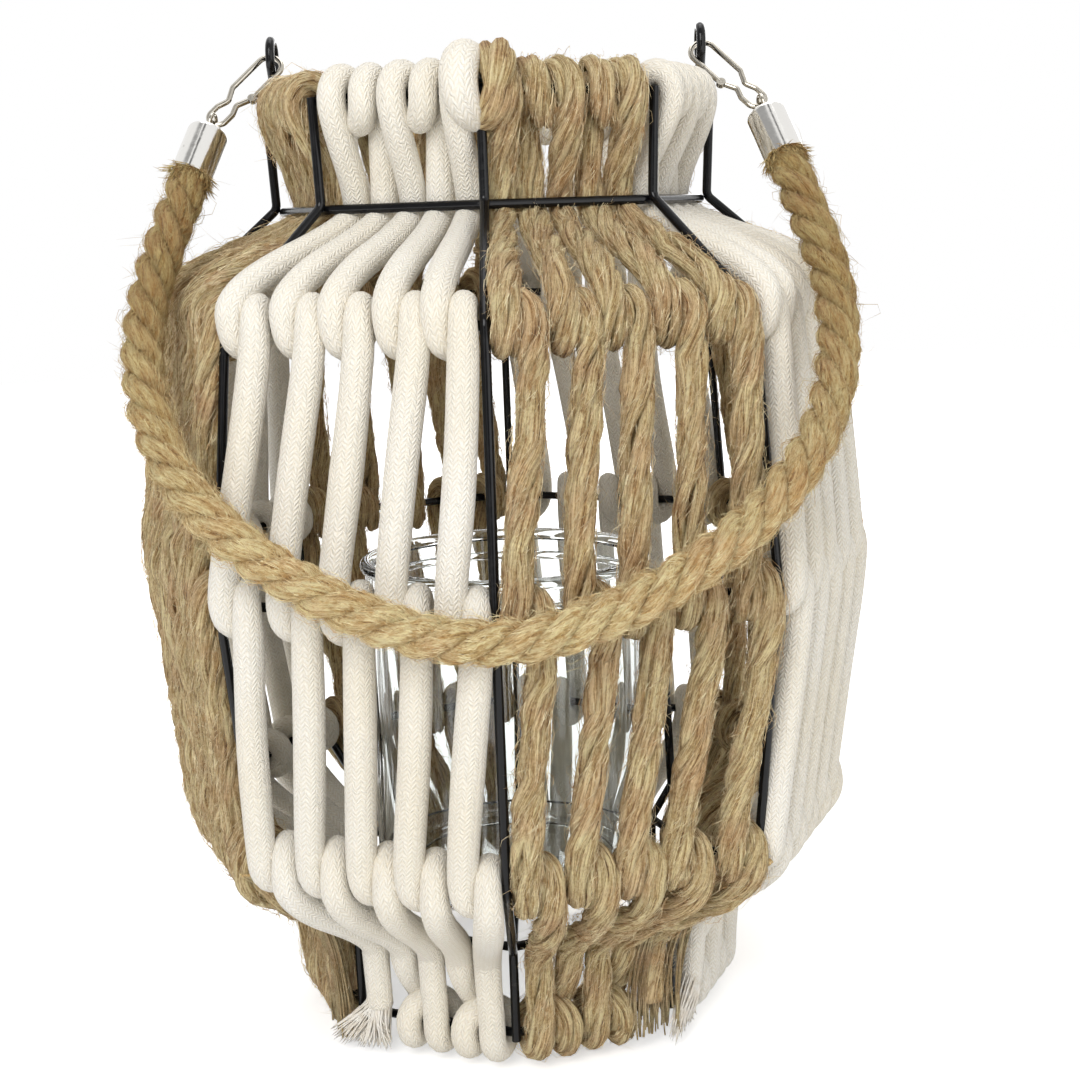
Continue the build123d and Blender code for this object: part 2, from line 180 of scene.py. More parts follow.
def new_group(name: str, inputs: tuple[str, ...], outputs: tuple[str, ...]) -> tuple:
    """Make an empty shader node group.

    Args:
        name: The group's name.
        inputs: Names of the inputs: a vector called Lay, and numbers.
        outputs: Names of the outputs, which are all numbers.

    Returns:
        The group's sheet, the sockets that it is given and its output node.
    """
    tree = bpy.data.node_groups.new(name, "ShaderNodeTree")
    for side, labels in (("INPUT", inputs), ("OUTPUT", outputs)):
        for label in labels:
            kind = "NodeSocketVector" if label == "Lay" else "NodeSocketFloat"
            tree.interface.new_socket(name=label, in_out=side, socket_type=kind)
    sheet = Sheet(tree)
    return sheet, sheet.add("NodeGroupInput").outputs, sheet.add("NodeGroupOutput")


class Effects:
    """Surface effects that several finishes share."""

    def __init__(self) -> None:
        """Build each group once."""
        self.fibre = self._fibre()
        self.mottle = self._mottle()
        self.wear = self._wear()

    @staticmethod
    def _fibre() -> NodeTree:
        """Twisted plant fibre: long fine fibres laid round a strand."""
        inputs = ("Lay", "Yarns", "Twist", "Fineness", "Stretch")
        sheet, given, result = new_group("fibre lay", inputs, ("Height", "Tone"))
        calc = sheet.calc
        along, around, _ = sheet.split(given["Lay"])
        layers = []
        for share, slant in ((1.0, 1.0), (0.7, -0.7), (0.24, 0.4)):
            turn = calc("MULTIPLY", given["Twist"], slant)
            angle = calc("MULTIPLY", calc("MULTIPLY_ADD", along, turn, around), TAU)
            reach = calc("MULTIPLY", given["Fineness"], share)
            point = sheet.add(
                "ShaderNodeCombineXYZ",
                X=calc("MULTIPLY", calc("COSINE", angle), reach),
                Y=calc("MULTIPLY", calc("SINE", angle), reach),
                Z=calc("MULTIPLY", calc("MULTIPLY", along, given["Stretch"]), share),
            )
            layers.append(sheet.noise(point.outputs[0], 1.0, 4.0, 0.68))
        phase = calc("MULTIPLY_ADD", along, given["Twist"], around)
        ridge = calc("MULTIPLY", calc("MULTIPLY", phase, given["Yarns"]), math.pi)
        ridge = calc("POWER", calc("ABSOLUTE", calc("SINE", ridge)), 0.6)
        crossed = calc("MAXIMUM", layers[0], layers[1])
        height = calc("MULTIPLY_ADD", crossed, 1.0, calc("MULTIPLY", ridge, 0.4))
        height = calc("MULTIPLY_ADD", layers[2], 0.6, height)
        # Tone follows the same fibre noise and yarn ridges as the height, so low fibres and the grooves
        # between yarns are darker: painted shade, over the fibres' own change of tone.
        tone = calc("MULTIPLY_ADD", layers[2], 0.95, calc("MULTIPLY", crossed, 0.75))
        tone = calc("MULTIPLY_ADD", ridge, 0.12, tone)
        speck = sheet.noise(sheet.place(), 900.0, 3.0, 0.7)
        tone = calc("MULTIPLY_ADD", speck, 0.3, calc("SUBTRACT", tone, 0.37))
        height = calc("MULTIPLY_ADD", speck, 0.5, height)
        sheet.feed(result, Height=height, Tone=sheet.span(tone, 0.48, 0.9))
        return sheet.tree

    @staticmethod
    def _mottle() -> NodeTree:
        """Slow change of tone over a piece, from dust, dye and handling."""
        sheet, given, result = new_group("mottle", ("Size", "Depth"), ("Tone",))
        swing = sheet.calc("SUBTRACT", sheet.noise(sheet.place(), given["Size"], 4.0, 0.5), 0.5)
        swing = sheet.calc("MULTIPLY", swing, sheet.calc("MULTIPLY", given["Depth"], 2.0))
        sheet.feed(result, Tone=sheet.calc("ADD", swing, 1.0))
        return sheet.tree

    @staticmethod
    def _wear() -> NodeTree:
        """Fine unevenness of a coated or plated wire, with rubbed high spots."""
        outputs = ("Roughness", "Height", "Rub")
        sheet, given, result = new_group("wire wear", ("Scale", "Low", "High"), outputs)
        place = sheet.place()
        grain = sheet.noise(place, given["Scale"], 5.0, 0.5)
        rough = sheet.span(grain, 0.35, 0.7, given["Low"], given["High"])
        rub = sheet.span(sheet.noise(place, 95.0, 6.0, 0.7), 0.66, 0.74)
        sheet.feed(result, Roughness=rough, Height=grain, Rub=rub)
        return sheet.tree


# ---------------------------------------------------------------- finishes
@dataclass(frozen=True)
class Finish:
    """A named surface finish."""

    name: str

    def make(self, effects: Effects) -> Material:
        """Return the material with its shader painted."""
        material = bpy.data.materials.new(self.name)
        material.use_nodes = True
        sheet = Sheet(material.node_tree)
        shader = sheet.add("ShaderNodeBsdfPrincipled")
        sheet.add("ShaderNodeOutputMaterial", Surface=shader.outputs[0])
        self.paint(sheet, shader, effects)
        return material

    def paint(self, sheet: Sheet, shader: Node, effects: Effects) -> None:
        """Fill the shader's inputs.

        Args:
            sheet: The material's sheet.
            shader: Its Principled BSDF.
            effects: The effects that finishes share.
        """
        raise NotImplementedError


@dataclass(frozen=True)
class MetalCoat(Finish):
    """Lacquer or plating, slightly uneven and rubbed in places; by itself it is bright plating."""

    colour: tuple
    rubbed: tuple
    grain: float = 420.0
    rough: tuple[float, float] = (0.08, 0.2)
    metallic: float = 1.0
    specular: float = 0.5
    depth: float = 0.00004

    def paint(self, sheet: Sheet, shader: Node, effects: Effects) -> None:
        """Fill the shader's inputs."""
        low, high = self.rough
        wear = sheet.group(effects.wear, Scale=self.grain, Low=low, High=high)
        sheet.feed(
            shader, Base_Color=sheet.mix(wear["Rub"], self.colour, self.rubbed), Metallic=self.metallic,
            Roughness=wear["Roughness"], Specular_IOR_Level=self.specular,
            Normal=sheet.bump(wear["Height"], self.depth),
        )


@dataclass(frozen=True)
class JarGlass(Finish):
    """Clear pressed glass with a faint grey-green tint."""

    colour: tuple = srgb(249, 252, 251)

    def paint(self, sheet: Sheet, shader: Node, effects: Effects) -> None:
        """Fill the shader's inputs."""
        ripple = sheet.noise(sheet.place(), 26.0, 1.0, 0.4)
        sheet.feed(
            shader, Base_Color=self.colour, Transmission_Weight=1.0, IOR=1.48, Roughness=0.0,
            Normal=sheet.bump(ripple, 0.0005),
        )


@dataclass(frozen=True)
class BraidedCotton(Finish):
    """Off-white cotton cord in a fine herringbone braid."""

    crown: tuple = srgb(249, 246, 239)
    middle: tuple = srgb(243, 238, 227)
    # darker colour of the stitch valleys and seams: painted shade
    valley_shade: tuple = srgb(229, 221, 205)
    aged: tuple = srgb(250, 246, 237)
    columns: float = 10.0  # columns of stitches round the cord
    pitch: float = 0.0017  # length of a stitch
    slant: float = 0.0018  # climb of a stitch across its column

    def paint(self, sheet: Sheet, shader: Node, effects: Effects) -> None:
        """Fill the shader's inputs."""
        calc, place = sheet.calc, sheet.place()
        along, around, _ = sheet.split(sheet.lay())
        wobble = sheet.noise(place, 420.0, 2.0, 0.5)
        column = calc("MULTIPLY_ADD", wobble, 0.4, calc("MULTIPLY", around, self.columns))
        across = calc("PINGPONG", column, 0.5)
        climb = calc("MULTIPLY_ADD", across, 2 * self.slant, along)
        climb = calc("MULTIPLY_ADD", wobble, 0.0015, climb)
        stitch = calc("SINE", calc("MULTIPLY", climb, TAU / self.pitch))
        stitch = calc("MULTIPLY_ADD", stitch, 0.5, 0.5)
        seam = sheet.span(calc("ABSOLUTE", calc("SUBTRACT", across, 0.25)), 0.12, 0.25, 1.0, 0.25)
        height = calc("MULTIPLY", calc("POWER", stitch, 0.8), seam)
        height = calc("MULTIPLY_ADD", sheet.noise(place, 2400.0, 3.0, 0.65), 0.8, height)
        tone = sheet.span(height, 0.3, 1.15)
        # The colour follows the stitch height: painted shade in the valleys and seams of the braid.
        colour = sheet.ramp(tone, (0.0, self.valley_shade), (0.3, self.middle), (1.0, self.crown))
        mottle = sheet.group(effects.mottle, Size=20.0, Depth=0.1)[0]
        tint = sheet.mix(sheet.span(mottle, 0.97, 1.06), self.aged, WHITE)
        sheet.feed(
            shader, Base_Color=sheet.mix(1.0, colour, tint, "MULTIPLY"), Roughness=0.95,
            Specular_IOR_Level=0.2, Sheen_Weight=0.3, Sheen_Roughness=0.6, Normal=sheet.bump(height, 0.0003),
        )


def paint_end_shade(sheet: Sheet, colour: object, share: float) -> object:
    """Darken a rope's colour towards its ends, which are the highest parts of it: painted shade.

    Args:
        sheet: The material's sheet.
        colour: The colour of the rope's middle.
        share: How much of the colour is left at the ends; 1 leaves it all as it is.

    Returns:
        The colour that changes along the rope.
    """
    if share == 1.0:
        return colour
    # Painted shade: the colour darkens with height towards the rope's ends.
    near = sheet.span(sheet.split(sheet.place())[2], *END_SHADE_HEIGHTS)
    end_shade_tint = (share, share * 0.9, share * 0.7, 1.0)
    return sheet.mix(1.0, colour, sheet.mix(near, WHITE, end_shade_tint), "MULTIPLY")


@dataclass(frozen=True)
class TwistedJute(Finish):
    """Coarse jute, with fibres that change in tone along a strand."""

    # Darkest tone: partly the fibres' own dark streaks, partly painted shade in the low fibres and the
    # grooves between yarns.
    dark: tuple = srgb(72, 42, 18)
    middle: tuple = srgb(186, 151, 100)
    light: tuple = srgb(255, 240, 200)
    russet: tuple = srgb(212, 152, 116)
    straw: tuple = srgb(255, 253, 236)
    buff: tuple = srgb(255, 250, 236)
    yarns: float = 3.0
    twist: float = 15.0  # turns of the fibre per metre
    stretch: float = 250.0  # how much finer the fibre is along the strand
    depth: float = 0.0012
    # Share of the colour left at a rope's top ends by painted shade; 1 paints none.
    ends: float = 1.0

    def paint(self, sheet: Sheet, shader: Node, effects: Effects) -> None:
        """Fill the shader's inputs."""
        fibre = sheet.group(
            effects.fibre, Lay=sheet.lay(), Yarns=self.yarns, Twist=self.twist, Fineness=15.0,
            Stretch=self.stretch,
        )
        colour = sheet.ramp(fibre["Tone"], (0.0, self.dark), (0.4, self.middle), (0.9, self.light))
        redder = sheet.span(sheet.group(effects.mottle, Size=64.0, Depth=0.5)[0], 0.94, 1.16)
        tint = sheet.mix(redder, self.straw, sheet.mix(0.34, self.buff, self.russet))
        colour = paint_end_shade(sheet, sheet.mix(1.0, colour, tint, "MULTIPLY"), self.ends)
        sheet.feed(
            shader, Base_Color=colour, Roughness=sheet.span(fibre["Tone"], 0.0, 1.0, 1.0, 0.82),
            Specular_IOR_Level=0.15, Sheen_Weight=0.15, Sheen_Roughness=0.5,
            Normal=sheet.bump(fibre["Height"], self.depth),
        )


@dataclass(frozen=True)
class LooseFibre(Finish):
    """Single fibres that stand off a cord."""

    root: tuple
    tip: tuple
    # Share of the colour left at a rope's top ends by painted shade; 1 paints none.
    ends: float = 1.0

    def paint(self, sheet: Sheet, shader: Node, effects: Effects) -> None:
        """Fill the shader's inputs."""
        tone = sheet.span(sheet.noise(sheet.place(), 330.0, 3.0, 0.6), 0.38, 0.62)
        sheet.feed(
            shader, Base_Color=paint_end_shade(sheet, sheet.mix(tone, self.root, self.tip), self.ends),
            Roughness=sheet.span(tone, 0.0, 1.0, 0.6, 0.85),
        )


@dataclass(frozen=True)
class PaleFloor(Finish):
    """Pale studio floor that keeps the lantern's shadow."""

    pale: tuple = (0.93, 0.93, 0.93, 1.0)
    grey: tuple = (0.9, 0.9, 0.9, 1.0)
    lift: float = 0.5  # own light near the lantern; far from it the floor is as bright as the background
    near: float = 0.3
    far: float = 0.9

    def paint(self, sheet: Sheet, shader: Node, effects: Effects) -> None:
        """Fill the shader's inputs."""
        rays = sheet.add("ShaderNodeLightPath").outputs
        seen = sheet.calc("ADD", rays["Is Camera Ray"], rays["Is Glossy Ray"])
        seen = sheet.calc("MINIMUM", sheet.calc("ADD", seen, rays["Is Transmission Ray"]), 1.0)
        place = sheet.place()
        lift = sheet.span(sheet.vector("LENGTH", place)["Value"], self.near, self.far, self.lift, 1.0)
        tone = sheet.span(sheet.noise(place, 5.0, 3.0, 0.5), 0.3, 0.7, 0.985, 1.0)
        sheet.feed(
            shader, Base_Color=sheet.mix(tone, self.grey, self.pale), Roughness=0.9, Specular_IOR_Level=0.0,
            Emission_Color=WHITE, Emission_Strength=sheet.calc("MULTIPLY", seen, lift),
        )


# ---------------------------------------------------------------- lines and tubes
def gaps(line: Array) -> Array:
    """Return the distances between a line's neighbouring points."""
    return np.linalg.norm(np.diff(line[:, :3], axis=0), axis=1)


def lengths(line: Array) -> Array:
    """Return how far along the line each of its points lies."""
    return np.concatenate([[0.0], np.cumsum(gaps(line))])


def even_line(line: Array, step: float) -> Array:
    """Space a line's points evenly."""
    line = line[np.concatenate([[True], gaps(line) > 1e-9])]
    along = lengths(line)
    places = np.linspace(0.0, along[-1], max(2, int(round(along[-1] / step))) + 1)
    return np.stack([np.interp(places, along, values) for values in line.T], axis=1)


def smooth_line(corners: Array, step: float) -> Array:
    """Draw one smooth line that rounds every corner of a route.

    Args:
        corners: Rows of x, y, z and any further values, such as a radius.
        step: Distance between the line's points.

    Returns:
        Rows of the same values along the line.
    """
    middles = (corners[1:-2] + corners[2:-1]) / 2
    starts = np.vstack([corners[:1], middles])
    ends = np.vstack([middles, corners[-1:]])
    rows = [corners[:1]]
    for start, corner, end in zip(starts, corners[1:-1], ends):
        count = max(3, int(np.linalg.norm((end - start)[:3]) / step) + 2)
        t = np.linspace(0, 1, count + 1)[1:, None]
        rows.append((1 - t) ** 2 * start + 2 * t * (1 - t) * corner + t**2 * end)
    return even_line(np.vstack(rows), step)


def drift(rng: Rng, count: int, middle: float, swing: float, every: int, over: int = 0) -> Array:
    """Return values that drift along a line.

    Args:
        rng: Source of chance.
        count: How many points the line has.
        middle: Mean of the values.
        swing: Their spread.
        every: Points between one chance value and the next.
        over: Points by which the chance values run past the line's end.

    Returns:
        A value for each point.
    """
    knots = np.arange(0, count + over, every)
    return np.interp(np.arange(count), knots, rng.normal(middle, swing, len(knots)))


def carried_axes(line: Array) -> tuple[Array, Array, Array]:
    """Carry two axes along a line without twisting them.

    Args:
        line: Points of the line.

    Returns:
        The tangents, and the two axes across the line, at every point.
    """
    tangents = np.gradient(line[:, :3], axis=0)
    tangents /= np.linalg.norm(tangents, axis=1)[:, None]
    first = np.cross(tangents[0], (0.31, 0.17, 0.93))
    first /= np.linalg.norm(first)
    across = np.zeros_like(tangents)
    for index, tangent in enumerate(tangents):
        first = first - tangent * np.dot(first, tangent)
        first /= np.linalg.norm(first)
        across[index] = first
    return tangents, across, np.cross(tangents, across)


def at_angle(angle: Array, first: Array, second: Array) -> Array:
    """Return the directions at an angle from one axis towards another."""
    return np.cos(angle) * first + np.sin(angle) * second


@dataclass
class TubeMesh:
    """Collects tubes and hairs into one mesh."""

    name: str
    points: list = field(default_factory=list)
    faces: list = field(default_factory=list)
    lays: list = field(default_factory=list)
    count: int = 0

    def add(self, line: Array, radius: Array, sides: int) -> None:
        """Add a tube with domed ends.

        Args:
            line: Points of the centre line.
            radius: Radius at every point.
            sides: Points round the tube.
        """
        tangents, across, up = carried_axes(line)
        angles = (TAU * np.arange(sides) / sides)[None, :, None]
        rings = line[:, None, :3] + radius[:, None, None] * at_angle(angles, across[:, None], up[:, None])
        length, n = lengths(line), len(line)
        self.points.append(rings.reshape(-1, 3))
        index = np.arange(n * sides).reshape(n, sides) + self.count
        after = np.roll(index, -1, axis=1)
        self.faces.append(np.stack([index[:-1], after[:-1], after[1:], index[1:]], axis=-1).reshape(-1, 4))
        share = np.arange(sides + 1) / sides
        u0, u1 = np.repeat(length[:-1], sides), np.repeat(length[1:], sides)
        v0, v1 = np.tile(share[:-1], n - 1), np.tile(share[1:], n - 1)
        self.lays.append(np.stack([u0, v0, u0, v1, u1, v1, u1, v0], axis=1).reshape(-1, 2))
        self.count += n * sides
        for end, side, ring in ((0, -1, index[0][::-1]), (-1, 1, index[-1])):
            tip = line[end, :3] + side * tangents[end] * radius[end] * 0.5
            self._dome(tip, ring, length[end])

    def _dome(self, tip: Array, ring: Array, length: float) -> None:
        """Close a tube's end with a low point over its last ring."""
        self.points.append(tip[None, :])
        top = np.full_like(ring, self.count)
        self.faces.append(np.stack([ring, np.roll(ring, -1), top, top], axis=-1))
        self.lays.append(np.tile([[length, 0.0]], (4 * len(ring), 1)))
        self.count += 1

    def add_hairs(self, hairs: Array, thickness: Array) -> None:
        """Add many thin closed three-sided hairs at once.

        Args:
            hairs: Points of every hair, as hair by point by coordinate.
            thickness: Radius at each point of a hair but its tip.
        """
        number, count, _ = hairs.shape
        hairs = np.concatenate([hairs[..., :2], np.maximum(hairs[..., 2:], GROUND)], axis=2)
        tangents = np.gradient(hairs, axis=1)
        tangents /= np.linalg.norm(tangents, axis=2)[..., None] + 1e-12
        across = np.cross(tangents, (0.42, 0.23, 0.88))
        across /= np.linalg.norm(across, axis=2)[..., None] + 1e-12
        up = np.cross(tangents, across)
        rings = []
        for angle in (0.0, TAU / 3, 2 * TAU / 3):
            offset = math.cos(angle) * across + math.sin(angle) * up
            rings.append(hairs[:, :-1] + offset[:, :-1] * thickness[None, :, None])
        rings = np.stack(rings, axis=2).reshape(number, -1, 3)
        last, tip = 3 * (count - 2), 3 * (count - 1)
        faces = [(2, 1, 0, 0)]
        for low in range(0, last, 3):
            pairs = [(low + side, low + (side + 1) % 3) for side in range(3)]
            faces += [(start, after, after + 3, start + 3) for start, after in pairs]
        faces += [(last + side, last + (side + 1) % 3, tip, tip) for side in range(3)]
        base = self.count + (tip + 1) * np.arange(number)
        faces = np.array(faces)[None] + base[:, None, None]
        self.points.append(np.concatenate([rings, hairs[:, -1:]], axis=1).reshape(-1, 3))
        self.faces.append(faces.reshape(-1, 4))
        self.lays.append(np.zeros((number * faces.shape[1] * 4, 2)))
        self.count += number * (tip + 1)

    def build(self, material: Material) -> Object:
        """Make the Blender object, with one finish on every face, and link it to the scene."""
        points, faces, lays = np.vstack(self.points), np.vstack(self.faces), np.vstack(self.lays)
        quads = faces[:, 2] != faces[:, 3]
        corners = np.ones(faces.shape, bool)
        corners[~quads, 3] = False
        loops = faces[corners]
        starts = np.concatenate([[0], np.cumsum(np.where(quads, 4, 3))[:-1]])
        mesh = bpy.data.meshes.new(self.name)
        mesh.vertices.add(len(points))
        mesh.vertices.foreach_set("co", points.astype(np.float32).ravel())
        mesh.loops.add(len(loops))
        mesh.loops.foreach_set("vertex_index", loops.astype(np.int32))
        mesh.polygons.add(len(faces))
        mesh.polygons.foreach_set("loop_start", starts.astype(np.int32))
        mesh.polygons.foreach_set("use_smooth", np.ones(len(faces), bool))
        layer = mesh.uv_layers.new(name=LAY_MAP)
        layer.data.foreach_set("uv", lays[corners.ravel()].astype(np.float32).ravel())
        mesh.update(calc_edges=True)
        mesh.validate()
        mesh.materials.append(material)
        thing = bpy.data.objects.new(self.name, mesh)
        bpy.context.scene.collection.objects.link(thing)
        return thing


# ---------------------------------------------------------------- fibres
@dataclass(frozen=True)
class Fibres:
    """Fibres that grow on a cord."""

    per_metre: float
    longest: float
    thickness: float

    def grow(self, mesh: TubeMesh, line: Array, radius: Array, rng: Rng) -> None:
        """Add fibres along a line.

        Args:
            mesh: Where the fibres go.
            line: Centre line of the cord.
            radius: Radius of the cord at each point.
            rng: Source of chance.
        """
        raise NotImplementedError


@dataclass(frozen=True)
class Cling(Fibres):
    """Fibres that lie along a cord's surface and lift off it here and there."""

    twist: float = 14.0  # turns round the cord per metre
    stray: float = 0.9  # spread of the last angle
    lift: float = 0.0006
    loose_end: float = 0.0006
    sunk: float = 0.985  # share of the cord's radius where a fibre lies

    def grow(self, mesh: TubeMesh, line: Array, radius: Array, rng: Rng) -> None:
        """Add fibres along a line."""
        _, across, up = carried_axes(line)
        steps = gaps(line)
        step, number = float(steps.mean()), int(self.per_metre * float(steps.sum()))
        start = rng.uniform(0, len(line) - 1, (number, 1))
        reach = self.longest * rng.uniform(0.35, 1.0, (number, 1)) / step
        t = np.linspace(0, 1, 4)[None]
        at = np.clip(start + reach * t, 0, len(line) - 1.001)
        low = at.astype(int)
        part = (at - low)[..., None]
        angle = rng.uniform(0, TAU, (number, 1)) + TAU * self.twist * reach * step * t
        angle = angle + rng.normal(0, self.stray, (number, 1)) * t

        def between(values: Array) -> Array:
            """Read values between the line's points."""
            return values[low] * (1 - part) + values[low + 1] * part

        out = at_angle(angle[..., None], between(across), between(up))
        lift = self.lift * rng.normal(0, 1.0, (number, 1)) ** 2 * np.sin(math.pi * t) ** 2
        ends = self.loose_end * np.abs(rng.normal(0, 1.0, (number, 1))) * t**3
        size = between(radius[:, None])[..., 0] * self.sunk
        hairs = between(line[:, :3]) + out * (size + lift + ends)[..., None]
        mesh.add_hairs(hairs, self.thickness * np.linspace(1.0, 0.7, 3))


@dataclass(frozen=True)
class Fuzz(Fibres):
    """Loose fibres that stand off a cord."""

    lift: float = 0.7  # how steeply a fibre rises
    points: int = 4

    def grow(self, mesh: TubeMesh, line: Array, radius: Array, rng: Rng) -> None:
        """Add fibres along a line."""
        tangents, across, up = carried_axes(line)
        number = int(self.per_metre * float(gaps(line).sum()))
        index = rng.integers(1, len(line) - 1, number)
        angle = rng.uniform(0, TAU, (number, 1))
        out, side = at_angle(angle, across[index], up[index]), at_angle(angle, up[index], -across[index])
        reach = self.longest * (0.12 + 0.88 * rng.uniform(0, 1, (number, 1, 1)) ** 2.6)
        lean = tangents[index] * rng.choice([-1.0, 1.0], (number, 1)) * rng.uniform(0.4, 1.3, (number, 1))
        lean = lean + side * rng.normal(0, 0.5, (number, 1))
        t = np.linspace(0, 1, self.points)[None, :, None]
        fall = rng.uniform(0, 1.6, (number, 1, 1))
        rise = out[:, None] * (self.lift * t - 0.35 * self.lift * t**2 * fall)
        curl = side[:, None] * t**2 * rng.normal(0, 0.5, (number, 1, 1))
        root = line[index, :3] + out * radius[index, None] * 0.95
        hairs = root[:, None] + reach * (rise + lean[:, None] * t * 0.7 + curl)
        mesh.add_hairs(hairs, self.thickness * np.linspace(1.0, 0.6, self.points - 1))


LINT = Fuzz(900.0, 0.0028, 0.00003)
JUTE_HAIRS = Fuzz(1250.0, 0.010, 0.00007)
JUTE_DOWN = Fuzz(3000.0, 0.0036, 0.00007, 0.9, 3)
BUNCH_DOWN = Fuzz(500.0, 0.006, 0.00005, 0.9, 3)
JUTE_CLING = Cling(2900.0, 0.013, 0.00011, stray=0.45)
ROPE_CLING = Cling(6600.0, 0.01, 0.0001, 30.0, 0.6)
ROPE_HAIRS = Fuzz(3500.0, 0.01, 0.00006)
ROPE_DOWN = Fuzz(15000.0, 0.0036, 0.00006, 0.9, 3)


def place_piece(thing: Object, body: str, nodes: tuple[str, ...] = ()) -> None:
    """Make a piece ride on its body and report it.

    Args:
        thing: The piece.
        body: The body that it moves with.
        nodes: The solids that it stands for.
    """
    if nodes:
        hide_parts(*nodes)
    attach(thing, body)
    LOG.info("%s: %d faces, rides on %s", thing.name, len(thing.data.polygons), body)


def dress_nodes(nodes: list[str], material: Material) -> None:
    """Give carried-over solids a finish."""
    for name in nodes:
        thing = frame["nodes"][name]
        thing.data.materials.clear()
        thing.data.materials.append(material)
        LOG.info("%s: %s", name, material.name)


# ---------------------------------------------------------------- wound panels
@dataclass(frozen=True)
class Ring:
    """Centre line of one eight-sided ring."""

    radius: float
    height: float

    @classmethod
    def of(cls, node: str) -> "Ring":
        """Measure a ring from its solid."""
        low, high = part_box(node)
        return cls((high[0] - low[0]) / 2 - WIRE_R, (low[2] + high[2]) / 2)

    @property
    def apothem(self) -> float:
        """Distance from the axis to the middle of a side."""
        return (self.radius + CORNER_SHORTFALL) * FLAT

    @property
    def side(self) -> float:
        """Length of a side."""
        return 2 * self.apothem * math.tan(HALF_SIDE)


def halfway(first: Ring, last: Ring) -> tuple[float, float]:
    """Return the apothem and the height halfway between two rings."""
    return (first.apothem + last.apothem) / 2, (first.height + last.height) / 2


class CordKind(Enum):
    """What a panel is wound with."""

    COTTON = "cotton"
    JUTE = "jute"


